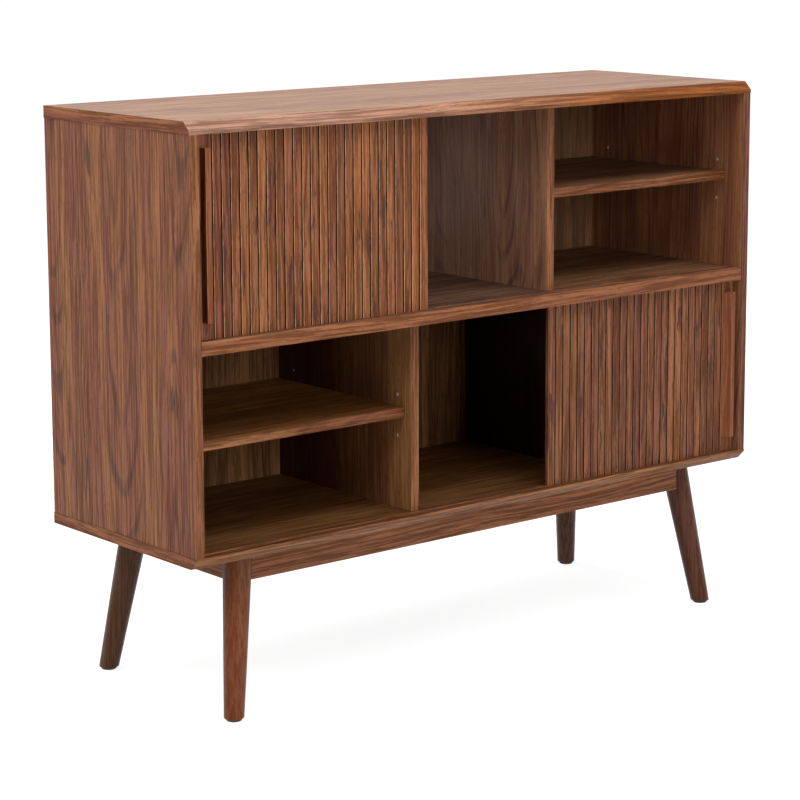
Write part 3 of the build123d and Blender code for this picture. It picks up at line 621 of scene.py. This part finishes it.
def faces_front(centre, normal):
    """True on the front edge of a board, its bevel and its lip."""
    return normal.y < -0.5


def faces_end(centre, normal):
    """True on the ends of the top and bottom boards."""
    return abs(normal.x) > 0.8 and abs(centre.x) > HALF_WIDTH


def faces_finger(centre, normal):
    """True on the face of a door handle that the finger pulls, toward the nearer side panel."""
    return normal.x * math.copysign(1.0, centre.x) > 0.9


def faces_arris(centre, normal):
    """True on the rounding between that face and the front of the handle."""
    return 0.25 < normal.x * math.copysign(1.0, centre.x) < 0.9 and normal.y < -0.3


def faces_bays(centre, normal):
    """True on the faces of the uprights that look into the bays."""
    return abs(normal.x) > 0.9 and abs(centre.x) < HALF_WIDTH - 0.01


def in_pin_hole(centre, normal):
    """True on the wall or the floor of a shelf pin hole."""
    return any(
        math.hypot(centre.y - column, centre.z - middle - step) < PIN_RADIUS * 1.1
        for column in PIN_COLUMNS
        for middle in PIN_MIDDLES
        for step in PIN_STEPS
    )


boards = {
    "top_board": (top_face_painted_sheen, bevel_band_painted_light),
    "middle_board": (board_face_painted_shade, front_band),
    "bottom_board": (low_board_face, front_band),
}
for name, (broad_face, band) in boards.items():
    board = dressed_copy(name, broad_face)
    finish_faces(board, band, faces_front)
    finish_faces(board, end_band, faces_end)

for name, finish in (("upper_shelf", upper_shelf_face), ("lower_shelf", lower_shelf_face_painted_light)):
    shelf = dressed_copy(name, finish)
    finish_faces(shelf, shelf_band_painted_shade, faces_front)

uprights = {
    "left_side_panel": (side_bay_face_painted_light, upright_band),
    "right_side_panel": (side_bay_face_painted_light, right_band),
    "upper_left_divider": (upper_bay_face_painted_light, upright_band),
    "upper_right_divider": (upper_bay_face_painted_light, upright_band),
    "lower_left_divider": (lower_left_bay_face_lit_and_shaded, upright_band),
    "lower_right_divider": (lower_right_bay_face_lit_and_shaded, upright_band),
}
for name, (bay_face, band) in uprights.items():
    upright = dressed_copy(name, upright_face)
    finish_faces(upright, bay_face, faces_bays)
    finish_faces(upright, band, faces_front)
    finish_faces(upright, raw_board, in_pin_hole)

dressed_copy("back_panel", back_face_painted_light, edge=0.0)

for tier, finish in (("upper", slat_face), ("lower", low_slat_face_painted_shade)):
    dressed_copy(tier + "_door", finish, edge=0.0008, angle=25.0)
    handle = dressed_copy(tier + "_door_handle", handle_wood, edge=0.0005)
    # The finger face gets painted shade
    finish_faces(handle, finger_shade_wood, faces_finger)
    # The rounding between the finger face and the front gets a painted highlight
    finish_faces(handle, arris_highlight_wood, faces_arris)

for name in ("front_rail", "rear_rail"):
    dressed_copy(name, long_rail_wood, edge=0.0005)
for name in ("left_rail", "right_rail", "centre_rail"):
    dressed_copy(name, end_rail_wood, edge=0.0005)

for corner, finish in leg_finishes.items():
    dressed_copy(corner + "_leg", finish, edge=0.0018, segments=4)
    dressed_copy(corner + "_foot_pad", black_plastic, edge=0.0004)

plain_finishes = {
    "back_panel_screws": steel,
    "carcass_dowels": beech,
    "upper_shelf_supports": bright_steel,
    "lower_shelf_supports": bright_steel,
    "rail_screws": steel,
    "leg_bolts": steel,
    "leg_inserts": brass,
    "upper_handle_screws": steel,
    "lower_handle_screws": steel,
    "upper_door_glides": nylon,
    "lower_door_glides": nylon,
}
for name, finish in plain_finishes.items():
    nodes[name].data.materials.clear()
    nodes[name].data.materials.append(finish)


# ---------------------------------------------------------------- studio


def seen_directly(tree, at, glossy):
    """1 for camera and transmission rays, glossy for glossy rays, else 0. Returns the output."""
    path = add_node(tree, "ShaderNodeLightPath", at)
    sheen = maths(tree, (at[0] + 200, at[1]), "MULTIPLY", path.outputs["Is Glossy Ray"], glossy)
    seen = maths(tree, (at[0] + 400, at[1]), "ADD", path.outputs["Is Camera Ray"], sheen)
    through = path.outputs["Is Transmission Ray"]
    return maths(tree, (at[0] + 600, at[1]), "ADD", seen, through, clamp=True)


bpy.ops.object.select_all(action="DESELECT")
bpy.ops.mesh.primitive_plane_add(size=80.0, location=(0.0, 0.0, 0.0))
floor = bpy.context.active_object
floor.name = "studio_floor"
floor_finish, floor_tree, floor_shader = new_material("pale_studio_floor")
floor_shader.inputs["Base Color"].default_value = (0.38, 0.38, 0.38, 1.0)
floor_shader.inputs["Roughness"].default_value = 0.9
floor_shader.inputs["Specular IOR Level"].default_value = 0.1
floor_shader.inputs["Emission Color"].default_value = (1.0, 1.0, 1.0, 1.0)
spot = add_node(floor_tree, "ShaderNodeTexCoord", (-1300, -600))
span = add_node(floor_tree, "ShaderNodeVectorMath", (-1100, -600), operation="LENGTH")
join(floor_tree, spot.outputs["Object"], span.inputs[0])
lift = ease(floor_tree, (-900, -600), span.outputs["Value"], 0.8, 4.0, 0.84, 1.0)
glow = maths(floor_tree, (-100, -300), "MULTIPLY", seen_directly(floor_tree, (-900, -300), 1.0), lift)
join(floor_tree, glow, floor_shader.inputs["Emission Strength"])
floor.data.materials.append(floor_finish)

world = bpy.data.worlds.new("studio_world")
bpy.context.scene.world = world
world.use_nodes = True
air = world.node_tree
background = air.nodes["Background"]
background.inputs["Color"].default_value = (1.0, 1.0, 1.0, 1.0)
join(air, seen_directly(air, (-900, -100), 0.5), background.inputs["Strength"])


def softbox(name, around, above, distance, size, energy):
    """Square area lamp that faces the cabinet, at degrees left of its front and above its middle."""
    turn, climb = math.radians(around), math.radians(above)
    place = (
        -distance * math.sin(turn) * math.cos(climb),
        -distance * math.cos(turn) * math.cos(climb),
        CABINET_MIDDLE + distance * math.sin(climb),
    )
    bpy.ops.object.light_add(type="AREA", location=place)
    lamp = bpy.context.active_object
    lamp.name = name
    lamp.rotation_euler = (math.radians(90) - climb, 0.0, -turn)
    lamp.data.size = size
    lamp.data.energy = energy


# Degrees left of the front, degrees above the middle, distance, size and power of each lamp
softboxes = {
    "overhead_softbox": (10, 86, 4.3, 4.0, 153.0),
    "front_softbox": (8, 12, 4.6, 1.8, 58.0),
    "high_left_softbox": (35, 52, 4.8, 2.6, 41.0),
    "high_right_softbox": (-35, 52, 4.8, 2.6, 71.0),
    "left_front_softbox": (75, 35, 4.6, 2.6, 36.0),
    "left_softbox": (108, 40, 4.6, 3.0, 65.0),
    "right_softbox": (-88, 14, 4.6, 3.0, 34.0),
    "rear_softbox": (165, 20, 4.6, 2.0, 56.0),
}
for name, values in softboxes.items():
    softbox(name, *values)

camera_place = (-2.7326, -3.2631, 1.2639)
camera_turn = (80.4711, 0.2044, -39.6023)  # degrees
bpy.ops.object.camera_add(location=camera_place, rotation=[math.radians(a) for a in camera_turn])
camera = bpy.context.active_object
camera.name = "studio_camera"
camera.data.sensor_width = 36.0
camera.data.lens = 114.64
camera.data.shift_y = -0.1
bpy.context.scene.camera = camera
bpy.context.scene.view_settings.view_transform = "Standard"
